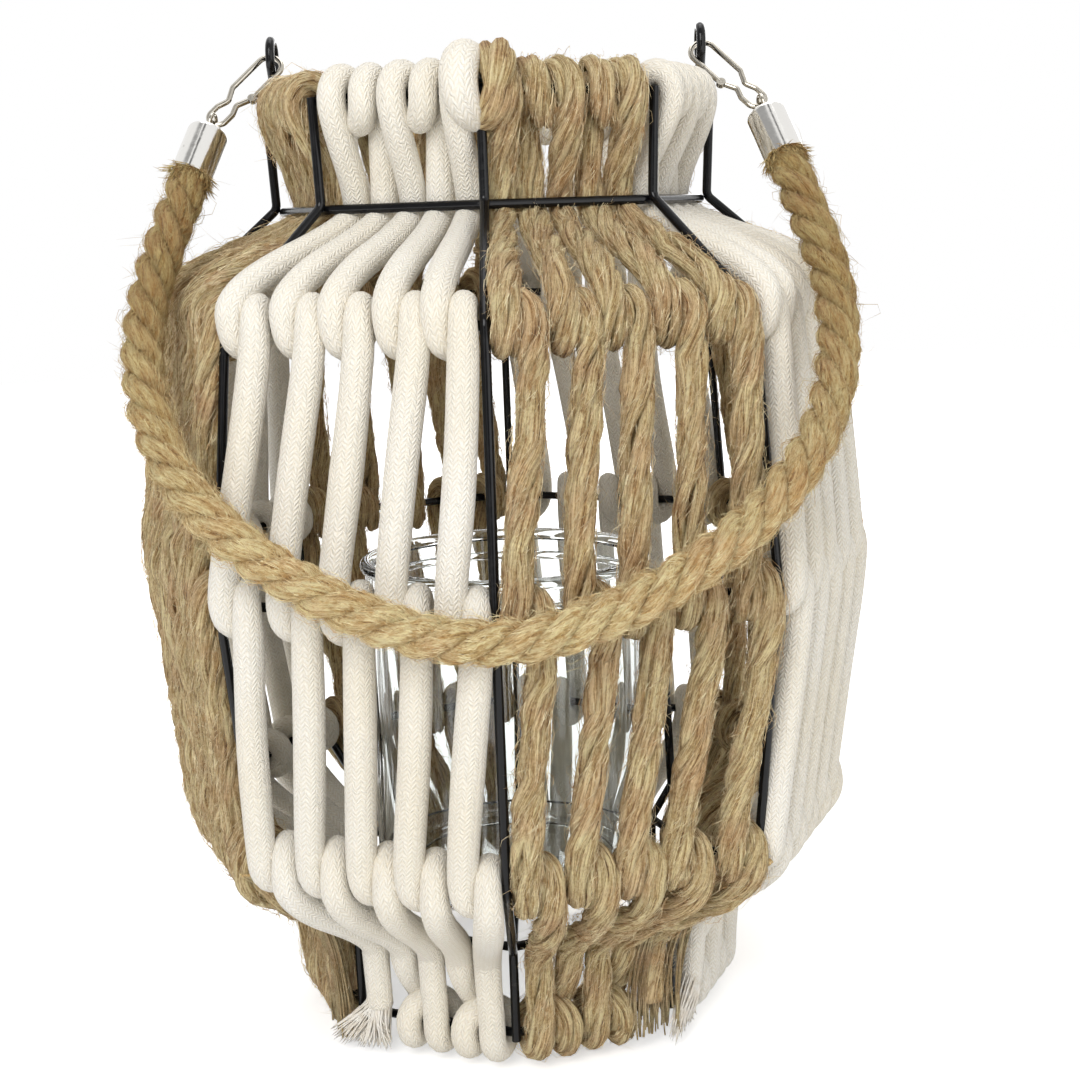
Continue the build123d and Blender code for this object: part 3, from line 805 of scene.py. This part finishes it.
@dataclass
class WoundPanel:
    """One side of the lantern, wound with one length of cord."""

    node: str
    kind: CordKind
    rings: dict[str, Ring]
    turned: float  # angle of this side round the lantern
    beside_ear: bool  # whether the winding starts at a corner with an ear
    seed: int
    passes: int = 5  # times that the cord runs between rim and base
    span_r: float = 0.0048  # radius of jute between the rings
    cotton_span_r: float = 0.0052
    turn_r: float = 0.0044  # radius in a turn round a ring
    end_r: float = 0.0047  # radius at the rim and base
    ear_end_r: float = 0.0043  # radius at the rim beside an ear
    turn_shift: float = 0.0088  # sideways step in one full turn
    panel_edge: float = -0.0006  # free length of a ring beside jute
    cotton_edge: float = -0.0014
    ear_gap: float = 0.0105  # free length of the rim beside an ear
    start_edge: float = 0.0016  # free length of the rim and base at the start
    end_edge: float = 0.0038  # and at the end
    turn_lead: float = 0.012  # straight lead into the turns at the shoulder and hip
    body_lead: float = 0.0065  # the same on their body side
    end_lead: float = 0.006  # straight lead below the rim and above the base
    neck_bend: tuple[float, float] = (0.0062, -0.0052)  # where the cord bends at the neck, above its ring
    neck_pull: float = 1.12  # how far inside the neck ring it runs, over wind_r
    neck_lean: float = 0.0004
    foot_bend: tuple[float, float] = (0.0015, -0.0095)
    foot_slack: float = 0.0009
    body_pull: float = 0.98  # how far outside the rings it runs halfway between them, over wind_r
    body_swell: float = 1.02
    tail: float = 0.009  # loose length inside the rim
    wander: float = 0.0008  # spread of the passes' places on the body
    settle: float = 0.0002  # the same at the rim, neck and base
    yarn_lay: float = 0.07  # length in which a yarn of jute goes once round
    step: float = 0.0018  # distance between points of the line

    def __post_init__(self) -> None:
        """Work out what the methods share."""
        self.rng = np.random.default_rng(self.seed)
        self.rim_r = self.ear_end_r if self.beside_ear else self.end_r
        self.wind_r = WIRE_R + self.turn_r + 0.0001
        self.onward = -1.0 if self.kind is CordKind.COTTON else 1.0
        if self.kind is CordKind.COTTON:
            self.span_r, self.panel_edge = self.cotton_span_r, self.cotton_edge
        self.place = self.places()

    def spread(self, low: float, high: float, loose: float) -> list[float]:
        """Places of the passes, nearly even, from low to high."""
        even = np.linspace(low, high, self.passes)
        return list(even + np.clip(self.rng.normal(0, loose, self.passes), -1.6 * loose, 1.6 * loose))

    def turn_places(self, ring: Ring) -> list[float]:
        """Middles of the full turns round a ring."""
        side = ring.side - 2 * self.panel_edge
        pitch = side / self.passes
        return self.spread(-side / 2 + pitch / 2, side / 2 - pitch / 2, self.wander)

    def end_places(self, ring: Ring, gap: float, size: float) -> list[float]:
        """Places of the passes on the rim or base, with the start at the left."""
        half = ring.side / 2
        return self.spread(-half + gap + size, half - self.end_edge - size, self.settle)

    def places(self) -> dict[str, list[float]]:
        """Return where the passes lie at each ring."""
        rings = self.rings
        depth = rings["neck"].apothem - self.wind_r * self.neck_pull
        reach = depth * math.tan(HALF_SIDE) - (self.rim_r + 0.0002) / FLAT
        gap = self.ear_gap if self.beside_ear else self.start_edge
        place = {
            "rim": self.end_places(rings["rim"], gap, self.rim_r),
            "neck": self.spread(-reach, reach, self.settle),
            "shoulder": self.turn_places(rings["shoulder"]),
            "waist": self.turn_places(rings["waist"]),
            "hip": self.turn_places(rings["hip"]),
            "base": self.end_places(rings["base"], self.start_edge, self.end_r),
        }
        if self.kind is CordKind.COTTON:
            for name, values in place.items():
                place[name] = [-u for u in values] if name in ("rim", "base") else values[::-1]
        return place

    @staticmethod
    def corner(u: float, out: float, z: float, radius: float) -> Array:
        """One corner of the route, at the front of the lantern."""
        return np.array([u, -out, z, radius])

    def beside(self, name: str, u: float, side: int) -> Array:
        """Point beside the rim or base wire, outside (1) or inside (-1) it."""
        ring = self.rings[name]
        size = self.rim_r if name == "rim" else self.end_r
        return self.corner(u, ring.apothem + side * (WIRE_R + size), ring.height, size)

    def outside(self, name: str, u: float, above: float) -> Array:
        """Point outside a ring and a little above it, or below it where the value is negative."""
        ring = self.rings[name]
        return self.corner(u, ring.apothem + self.wind_r, ring.height + above, self.span_r)

    @staticmethod
    def half_turn(start: Array, end: Array, side: int) -> list[Array]:
        """Corners of half a turn over (1) or under (-1) a wire."""
        across = (end - start) / 2
        reach = 1 / math.cos(math.pi / 6)
        size = float(np.linalg.norm(across[:3]))
        corners = []
        for index in range(3):
            angle = math.pi * (index + 0.5) / 3
            up = np.array([0.0, 0.0, side * size * math.sin(angle), 0.0])
            corners.append(start + across + (up - across * math.cos(angle)) * reach)
        return corners

    def full_turn(self, name: str, u: float) -> list[Array]:
        """Full turn round a ring, one step to the right."""
        ring, step = self.rings[name], self.turn_shift / 2
        low, back, high = (
            self.corner(u + shift, ring.apothem + side * self.wind_r, ring.height, self.turn_r)
            for shift, side in ((-step, 1), (0.0, -1), (step, 1))
        )
        return self.half_turn(low, back, -1) + self.half_turn(back, high, 1)

    def one_pass(self, index: int, inside: bool) -> list[Array]:
        """Corners of one run from rim to base, from the rim down.

        Args:
            index: Which of the passes.
            inside: Whether it runs inside the rim and base.

        Returns:
            The corners.
        """
        step, side = self.turn_shift / 2, -1 if inside else 1
        neck, foot = self.rings["neck"], self.rings["foot"]
        u = {name: values[index] for name, values in self.place.items()}
        lead = np.array([0.0, 0.0, self.end_lead, 0.0])
        neck_in = neck.apothem - self.wind_r * self.neck_pull
        corners = [
            self.beside("rim", u["rim"], side) - lead,
            self.corner(u["neck"], neck_in, neck.height + self.neck_bend[0], self.rim_r),
            self.corner(u["neck"], neck_in + self.neck_lean, neck.height + self.neck_bend[1], self.rim_r),
            self.outside("shoulder", u["shoulder"] - step, self.turn_lead),
        ]
        corners += self.full_turn("shoulder", u["shoulder"])
        for first, last in (("shoulder", "waist"), ("waist", "hip")):
            high, low = u[first] + step, u[last] - step
            out, z = halfway(self.rings[first], self.rings[last])
            middle = (high + low) / 2 + float(self.rng.normal(0, self.wander))
            corners += [
                self.outside(first, high, -self.body_lead),
                self.corner(middle, out + self.wind_r * self.body_pull, z, self.span_r * self.body_swell),
                self.outside(last, low, self.body_lead),
            ]
            corners += self.full_turn(last, u[last])
        foot_out = foot.apothem + self.wind_r + self.foot_slack
        return corners + [
            self.outside("hip", u["hip"] + step, -self.turn_lead),
            self.corner(u["base"], foot_out, foot.height + self.foot_bend[0], self.span_r),
            self.corner(u["base"], foot_out, foot.height + self.foot_bend[1], self.end_r),
            self.beside("base", u["base"], side) + lead,
        ]

    def crossing(self, name: str, first: float, last: float) -> list[Array]:
        """Corners from one pass to the next, with a whole turn round the rim or base.

        Args:
            name: The ring, "rim" or "base".
            first: Place of the pass that ends here.
            last: Place of the pass that starts here.

        Returns:
            The corners, which start inside the rim or outside the base.
        """
        if name == "rim":
            near = first + self.onward * 2 * self.rim_r
            stops = ((first, -1), (first, 1), (near, -1), (last, 1))
        else:
            stops = ((first, 1), (first, -1), (last, 1), (last, -1))
        corners = []
        for (u, side), (after, far_side) in zip(stops, stops[1:]):
            corners += self.half_turn(self.beside(name, u, side), self.beside(name, after, far_side), -side)
        return corners

    def turn_rows(self, rows: Array | list) -> Array:
        """Turn points from the front to this panel's side of the lantern."""
        rows = np.array(rows)
        cosine, sine = math.cos(self.turned), math.sin(self.turned)
        x, y = rows[:, 0].copy(), rows[:, 1].copy()
        rows[:, 0], rows[:, 1] = cosine * x - sine * y, sine * x + cosine * y
        return rows

    def line(self) -> Array:
        """Return the whole cord's smooth line, turned to its side of the lantern."""
        start = self.place["rim"][0]
        corners = [self.beside("rim", start, -1) - np.array([0.0, 0.0, self.tail, 0.0])]
        corners += self.half_turn(self.beside("rim", start, -1), self.beside("rim", start, 1), 1)
        for index in range(self.passes):
            inside = index % 2 == 1
            corners += self.one_pass(index, inside)[:: -1 if inside else 1]
            if index + 1 < self.passes:
                name = "rim" if inside else "base"
                corners += self.crossing(name, *self.place[name][index:index + 2])
        line = smooth_line(self.turn_rows(corners), self.step)
        LOG.info("%s: %.2f m of cord", self.node, self.step * len(line))
        return line

    def build(self, material: Material, fibre: Material) -> None:
        """Make the cord and its loose fibres."""
        make = self.build_cotton if self.kind is CordKind.COTTON else self.build_jute
        make(self.line(), material, fibre)

    def build_cotton(self, line: Array, material: Material, fibre: Material) -> None:
        """Make the braided cord and its few loose hairs."""
        mesh, hairs = TubeMesh(f"{self.node}_cord"), TubeMesh(f"{self.node}_lint")
        mesh.add(line, line[:, 3] * drift(self.rng, len(line), 1.0, 0.018, 14), 16)
        if not self.beside_ear:
            knot = StartTurn().line(self)
            mesh.add(knot, knot[:, 3], 16)
        place_piece(mesh.build(material), "lantern", (self.node,))
        LINT.grow(hairs, line, line[:, 3], self.rng)
        hairs.add_hairs(FrayedTail().hairs(self), np.full(8, 0.00036))
        place_piece(hairs.build(fibre), "lantern")

    def lay_yarns(self, mesh: TubeMesh, line: Array, yarns: int = 6) -> None:
        """Lay loosely twisted yarns round a line that has the cord's radius as fourth value."""
        _, across, up = carried_axes(line)
        along = np.arange(len(line)) * self.step

        def wave(middle: float, swing: float, every: int = 9) -> Array:
            """Return values that drift along the cord."""
            return drift(self.rng, len(line), middle, swing, every, every)

        common = wave(0, 0.45)
        for yarn in range(yarns):
            turn = TAU * (yarn / yarns + along / self.yarn_lay) + common + wave(0, 0.3)
            reach = line[:, 3] * (wave(0.6, 0.08) + wave(0.0, 0.04, 3))
            path = line[:, :3] + at_angle(turn[:, None], across, up) * reach[:, None]
            size = wave(0.43, 0.05) + wave(0.0, 0.035, 3)
            mesh.add(path, line[:, 3] * np.clip(size, 0.28, 0.58), 9)

    def build_jute(self, line: Array, material: Material, fibre: Material) -> None:
        """Make the yarns, the loose bunch at the end and the loose fibres."""
        mesh, fuzz, fibres = (TubeMesh(f"{self.node}_{part}") for part in ("cord", "fuzz", "fibres"))
        self.lay_yarns(mesh, line)
        bunch = LooseBunch().lines(self)
        for strand in bunch:
            mesh.add(strand, self.rng.uniform(0.0004, 0.0008) * np.linspace(1.0, 0.7, len(strand)), 5)
        if not self.beside_ear:
            self.lay_yarns(mesh, StartTurn().line(self))
        place_piece(mesh.build(material), "lantern", (self.node,))
        for kind in (JUTE_HAIRS, JUTE_DOWN):
            kind.grow(fuzz, line, line[:, 3], self.rng)
        for strand in bunch:
            BUNCH_DOWN.grow(fuzz, strand, np.full(len(strand), 0.0006), self.rng)
        place_piece(fuzz.build(fibre), "lantern")
        JUTE_CLING.grow(fibres, line, line[:, 3] * 1.05, self.rng)
        place_piece(fibres.build(fibre), "lantern")


@dataclass(frozen=True)
class StartTurn:
    """The extra turn that rides on top of the first one where a winding starts."""

    back: float = 0.0054  # how far it starts behind the first pass
    shift: float = 0.0055  # sideways step over the whole turn
    first: float = -0.62  # first and last angle, over half a turn
    last: float = 1.2
    raised: float = 0.0026  # how far it rides above the first turn
    out: float = 0.001
    up: float = 0.0008
    fatter: float = 0.34
    points: int = 40

    def line(self, panel: WoundPanel) -> Array:
        """Return the turn's line, with its radius as fourth value."""
        rim, final = panel.rings["rim"], self.points - 1
        u = panel.place["rim"][0] - panel.onward * self.back
        size = WIRE_R + panel.rim_r + self.raised
        rows = []
        for index, angle in enumerate(np.linspace(self.first * math.pi, self.last * math.pi, self.points)):
            out = rim.apothem + self.out + size * math.cos(angle)
            z = rim.height + self.up + size * math.sin(angle)
            fat = panel.end_r * (1.0 + self.fatter * math.sin(math.pi * index / final))
            rows.append(panel.corner(u + panel.onward * self.shift * index / final, out, z, fat))
        return even_line(panel.turn_rows(rows), panel.step)


@dataclass(frozen=True)
class FrayedTail:
    """Single strands that fan out from the end of a cotton cord at the base."""

    strands: int = 170
    spread: float = 0.021  # how far they fan out sideways
    packed: float = 0.9  # share of the cord's radius that they start within
    top: float = 0.011  # start above the base ring
    length: float = 0.019
    uneven: float = 0.004
    wave: float = 0.0012
    ground: float = 0.0012

    def hairs(self, panel: WoundPanel) -> Array:
        """Return points of every strand, as strand by point by coordinate."""
        base, rng, t = panel.rings["base"], panel.rng, np.linspace(0, 1, 9)
        lines = []
        for index in range(self.strands):
            share = (index + 0.5) / self.strands * 2 - 1
            angle = rng.uniform(0, TAU)
            side = panel.place["base"][-1] + math.cos(angle) * panel.end_r * self.packed * (1 - t)
            side = side + panel.onward * self.spread * (0.4 + 0.6 * share) * t**1.4
            out = base.apothem + WIRE_R + panel.end_r
            out = out + math.sin(angle) * panel.end_r * self.packed * (1 - 0.6 * t)
            out = out + self.wave * np.sin(4 * t + angle) * t
            length = self.length + rng.uniform(-self.uneven, self.uneven)
            z = base.height + self.top - length * t ** (0.9 + 0.3 * share)
            z = np.maximum(z, self.ground + rng.uniform(0, 0.0025) * t)
            lines.append(np.stack([side, -out, z], axis=1))
        return panel.turn_rows(np.array(lines).reshape(-1, 3)).reshape(self.strands, len(t), 3)


@dataclass(frozen=True)
class LooseBunch:
    """Yarns that come apart between the hip and the base at the end of a jute cord."""

    strands: int = 64
    wide: float = 0.0085
    deep: float = 0.0028
    wave: float = 0.0009
    step: float = 0.004

    def lines(self, panel: WoundPanel) -> list[Array]:
        """Return the line of every yarn."""
        rings, rng, wind = panel.rings, panel.rng, panel.wind_r
        hip, foot, base = rings["hip"], rings["foot"], rings["base"]
        top, low = panel.place["hip"][-1] + panel.turn_shift / 2, panel.place["base"][-1]
        middle_out, middle_z = halfway(hip, foot)
        lines = []
        for _ in range(self.strands):
            wide, deep = self.wide * rng.uniform(-1, 1), self.deep * rng.uniform(-0.3, 1)
            end = base.height + rng.uniform(-0.009, 0.004)
            rows = [
                panel.corner(top + wide * 0.7, hip.apothem + wind + deep, hip.height - 0.004, 0.0),
                panel.corner(top * 0.6 + low * 0.4 + wide, middle_out + wind + deep, middle_z, 0.0),
                panel.corner(low + wide * 1.1, foot.apothem + wind + 0.001 + deep, foot.height, 0.0),
                panel.corner(low + wide * 1.2, base.apothem + wind + deep * 1.6, end, 0.0),
            ]
            line = even_line(smooth_line(np.array(rows), panel.step), self.step)
            wave = self.wave * np.sin(np.linspace(0, 9, len(line)) + rng.uniform(0, 6))
            line[:, 0] += wave * np.linspace(0.2, 1.0, len(line))
            lines.append(panel.turn_rows(line)[:, :3])
        return lines


# ---------------------------------------------------------------- rope handle
# Half of the rope's route in the handle's own plane, from a ferrule's mouth to the middle:
# (out from the middle, down from the ears' axis).
HANDLE_ROUTE = (
    (0.10162, 0.05282), (0.10838, 0.07896), (0.1134, 0.1070), (0.1120, 0.1360), (0.1030, 0.1640),
    (0.0860, 0.1875), (0.0635, 0.2065), (0.0375, 0.2215), (0.0135, 0.2300),
)


@dataclass
class RopeHandle:
    """Three-strand rope between the two ferrules."""

    material: Material
    fibre: Material
    route: tuple = HANDLE_ROUTE
    diameter: float = 0.014
    lay: float = 0.034  # length in which a strand goes once round
    strand_out: float = 0.53  # place and size of a strand, over the rope's radius
    strand_r: float = 0.475
    step: float = 0.0015  # distance between points of the line
    gripped: float = 0.007  # length beside a ferrule that its grip makes thinner
    plug: int = 12  # points of the rope that fill each ferrule's mouth
    collar: int = 420  # short fibres that stick out of each mouth

    def plane_point(self, x: float, down: float) -> tuple[float, float, float]:
        """Turn a point of the handle's own plane into the lantern's axes."""
        joints = {joint["name"]: joint for joint in frame["joints"]}
        normal = joints["gate_right_swing"]["axis"]
        ear_z = joints["clip_left_swing"]["pos_m"][2]
        lean = math.atan2(-normal[2], normal[1])
        return (x, -down * math.sin(lean), ear_z - down * math.cos(lean))

    def line(self) -> Array:
        """Return points of the rope's smooth centre line."""
        half = list(self.route)
        points = half + [(-x, down) for x, down in reversed(half)]
        curve = bpy.data.curves.new("rope_line", "CURVE")
        curve.dimensions = "3D"
        curve.resolution_u = 24
        spline = curve.splines.new("NURBS")
        spline.points.add(len(points) - 1)
        for knot, point in zip(spline.points, points):
            knot.co = (*self.plane_point(*point), 1.0)
        spline.order_u = 3
        spline.use_endpoint_u = True
        thing = bpy.data.objects.new("rope_line", curve)
        mesh = bpy.data.meshes.new_from_object(thing)
        line = np.array([tuple(vertex.co) for vertex in mesh.vertices])
        bpy.data.objects.remove(thing)
        bpy.data.curves.remove(curve)
        bpy.data.meshes.remove(mesh)
        return even_line(line, self.step)

    def frayed_collar(self, line: Array, rng: Rng) -> Array:
        """Return short fibres that stick out of a ferrule's mouth round the rope.

        Args:
            line: Points of the rope's line from the mouth.
            rng: Source of chance.

        Returns:
            Points of every fibre, as fibre by point by coordinate.
        """
        shape = (self.collar, 1, 1)
        tangents, across, up = carried_axes(line)
        angle = rng.uniform(0, TAU, shape)
        out, side = at_angle(angle, across[0], up[0]), at_angle(angle, up[0], -across[0])
        reach = rng.uniform(0.0025, 0.0075, shape)
        splay = rng.uniform(0.0, 1.0, shape) ** 2.2
        t = np.linspace(0, 1, 4)[None, :, None]
        root = self.diameter / 2 * 0.87
        hairs = line[0] + out * (root + reach * (0.12 + 0.8 * splay) * t)
        hairs = hairs + side * reach * t**2 * rng.normal(0, 0.25, shape)
        return hairs + tangents[0] * (reach * (1.0 - 0.6 * splay) * t - 0.001)

    def build(self) -> None:
        rng = np.random.default_rng(41)
        line = self.line()
        _, across, up = carried_axes(line)
        count, whole = len(line), self.diameter / 2
        along = np.arange(count) * self.step
        squeeze = np.clip(np.minimum(along, along[::-1]) / self.gripped, 0.0, 1.0) * 0.1 + 0.9
        knots = np.arange(0, count, 9)[:-1]
        mesh, fibres, fuzz = (TubeMesh(f"rope_{part}") for part in ("strands", "fibres", "fuzz"))
        for strand in range(3):
            turn = TAU * (strand / 3 - along / self.lay)
            plump = drift(rng, count, 1.0, 0.03, 9)
            plump = plump + np.interp(np.arange(count), knots / 3, rng.normal(0, 0.02, len(knots)))
            path = line + at_angle(turn[:, None], across, up) * (whole * self.strand_out * squeeze)[:, None]
            size = whole * self.strand_r * plump * squeeze
            mesh.add(path, size, 18)
            ROPE_CLING.grow(fibres, path, size * 1.02, rng)
        ends = (line[:self.plug], line[:-self.plug - 1:-1])
        for end in ends:
            mesh.add(end, whole * np.linspace(0.86, 0.4, self.plug), 18)
        rope = mesh.build(self.material)
        place_piece(rope, "handle", ("rope_handle",))
        ROPE_HAIRS.grow(fuzz, line, whole * squeeze, rng)
        ROPE_DOWN.grow(fuzz, line, whole * squeeze * 0.93, rng)
        for end in ends:
            fuzz.add_hairs(self.frayed_collar(end, rng), np.full(3, 0.00013))
        loose = [fuzz.build(self.fibre), fibres.build(self.fibre)]
        for piece in loose:
            place_piece(piece, "handle")
        LOG.info("rope is %.3f m long", float(gaps(line).sum()))


# ---------------------------------------------------------------- studio
@dataclass
class Studio:
    """Camera, lights, floor and background."""

    lens: float = 59.35
    place: tuple = (0.01335, -0.65344, 0.29298)
    pitch: float = 10.36
    roll: float = -1.94
    turn: float = 0.45
    aim: tuple = (0.0, 0.0, 0.18)
    # name, place, size and power of each soft square lamp: a broad key from the upper left, a fill, a top
    # light and a lamp behind
    lamps: tuple = (
        ("key", (-0.45, -1.5, 1.15), 1.0, 19.5),
        ("fill", (1.1, -1.2, 0.6), 1.2, 5.5),
        ("top", (0.0, 0.3, 1.7), 1.0, 6.0),
        ("back", (0.3, 1.6, 0.9), 1.4, 11.0),
    )
    # direction, cosines of the inner and outer edge and darkness of each card that metal mirrors
    cards: tuple = (((0.0, -1.0, 0.0), 0.985, 0.955, 0.8), ((-0.9, -0.436, 0.0), 0.96, 0.85, 0.6))
    floor_r: float = 3.0
    floor_z: float = -0.0002

    def camera(self) -> None:
        """Set up the camera."""
        data = bpy.data.cameras.new("camera")
        data.lens = self.lens
        data.sensor_width = 36.0
        camera = bpy.data.objects.new("camera", data)
        turn, tilt, roll = (
            Matrix.Rotation(math.radians(angle), 4, axis)
            for angle, axis in ((self.turn, "Z"), (90.0 - self.pitch, "X"), (self.roll, "Z"))
        )
        camera.matrix_world = turn @ Matrix.Translation(self.place) @ tilt @ roll
        bpy.context.scene.collection.objects.link(camera)
        bpy.context.scene.camera = camera

    def lights(self) -> None:
        """Add the lamps, all aimed at the lantern."""
        for name, place, size, power in self.lamps:
            data = bpy.data.lights.new(name, "AREA")
            data.size = size
            data.energy = power
            lamp = bpy.data.objects.new(name, data)
            aim = (Vector(self.aim) - Vector(place)).to_track_quat("-Z", "Y").to_matrix().to_4x4()
            lamp.matrix_world = Matrix.Translation(place) @ aim
            bpy.context.scene.collection.objects.link(lamp)

    def world(self) -> None:
        """White background for the camera, softer light for everything else, dark cards for metal."""
        world = bpy.data.worlds.new("studio")
        bpy.context.scene.world = world
        world.use_nodes = True
        sheet = Sheet(world.node_tree)
        rays = sheet.add("ShaderNodeLightPath").outputs
        seen = sheet.calc("MAXIMUM", rays["Is Camera Ray"], rays["Is Transmission Ray"])
        seen = sheet.calc("MAXIMUM", seen, rays["Is Glossy Ray"])
        strength = sheet.span(seen, 0.0, 1.0, 0.42, 1.0)
        around = sheet.add("ShaderNodeTexCoord").outputs["Generated"]
        level = sheet.vector("NORMALIZE", sheet.vector("MULTIPLY", around, (1.0, 1.0, 0.0))[0])[0]
        for card, inner, outer, dark in self.cards:
            facing = sheet.vector("DOT_PRODUCT", level, card)["Value"]
            shade = sheet.calc("MULTIPLY", sheet.span(facing, outer, inner, 0.0, dark), rays["Is Glossy Ray"])
            strength = sheet.calc("SUBTRACT", strength, shade)
        back = sheet.add("ShaderNodeBackground", Color=WHITE, Strength=strength)
        sheet.add("ShaderNodeOutputWorld", Surface=back.outputs[0])

    def floor(self, material: Material, sides: int = 96) -> None:
        """Add the floor."""
        angles = [TAU * index / sides for index in range(sides)]
        reach, z = self.floor_r, self.floor_z
        points = [(reach * math.cos(angle), reach * math.sin(angle), z) for angle in angles]
        mesh = bpy.data.meshes.new("floor")
        mesh.from_pydata(points, [], [tuple(range(sides))])
        mesh.materials.append(material)
        floor = bpy.data.objects.new("floor", mesh)
        bpy.context.scene.collection.objects.link(floor)


def main() -> None:
    """Build the studio and dress the lantern, piece by piece."""
    logging.basicConfig(level=logging.INFO, format="%(name)s: %(message)s")
    bpy.context.scene.view_settings.view_transform = "Standard"
    studio = Studio()
    studio.camera()
    effects = Effects()
    jute = TwistedJute("twisted jute").make(effects)
    # The rope and its loose fibres get painted shade towards their ends, down to 0.62 of their colour.
    golden = TwistedJute(
        "golden rope", dark=srgb(112, 70, 32), middle=srgb(214, 178, 120), light=srgb(255, 242, 200),
        russet=srgb(222, 166, 122), yarns=5.0, twist=-26.0, stretch=300.0, depth=0.0013, ends=0.62,
    ).make(effects)
    cotton = BraidedCotton("braided cotton").make(effects)
    jute_fibre = LooseFibre("loose jute", srgb(192, 152, 102), srgb(255, 242, 202)).make(effects)
    rope_fibre = LooseFibre("loose rope", srgb(196, 156, 98), srgb(255, 242, 194), 0.62).make(effects)
    lint = LooseFibre("cotton lint", srgb(236, 228, 214), srgb(250, 246, 238)).make(effects)
    RopeHandle(golden, rope_fibre).build()

    ring_names = ("rim", "neck", "shoulder", "waist", "hip", "foot", "base")
    wires = [f"{name}_ring" for name in ring_names] + [f"upright_{index + 1}" for index in range(SIDES)]
    wires += ["ear_left", "ear_right", "jar_cross", "jar_prong_left", "jar_prong_right"]
    lacquer = MetalCoat(
        "black lacquer", srgb(12, 12, 14), srgb(46, 44, 42), grain=240.0, rough=(0.1, 0.24), metallic=0.0,
        specular=0.28, depth=0.00012,
    )
    dress_nodes(wires, lacquer.make(effects))
    rings = {name: Ring.of(f"{name}_ring") for name in ring_names}
    for index in range(SIDES):
        kind = CordKind.COTTON if index % 2 else CordKind.JUTE
        node = f"{kind.value}_wrap_{index // 2 + 1}"
        panel = WoundPanel(node, kind, rings, (2 * index + 1) * HALF_SIDE, index in (1, 2, 5, 6), 70 + index)
        panel.build(*((cotton, lint) if kind is CordKind.COTTON else (jute, jute_fibre)))

    dress_nodes(["glass_jar"], JarGlass("jar glass").make(effects))
    spring_wire = MetalCoat("spring wire", srgb(186, 180, 168), srgb(122, 116, 106))
    nickel = MetalCoat("bright nickel", srgb(234, 232, 228), srgb(172, 168, 162))
    dress_nodes(["rope_cap_left", "rope_cap_right"], nickel.make(effects))
    springs = [f"{part}_{side}" for part in ("cap_eye", "snap_clip", "clip_gate") for side in SIDE_NAMES]
    dress_nodes(springs, spring_wire.make(effects))
    studio.lights()
    studio.world()
    studio.floor(PaleFloor("pale floor").make(effects))


if __name__ == "__main__":
    main()
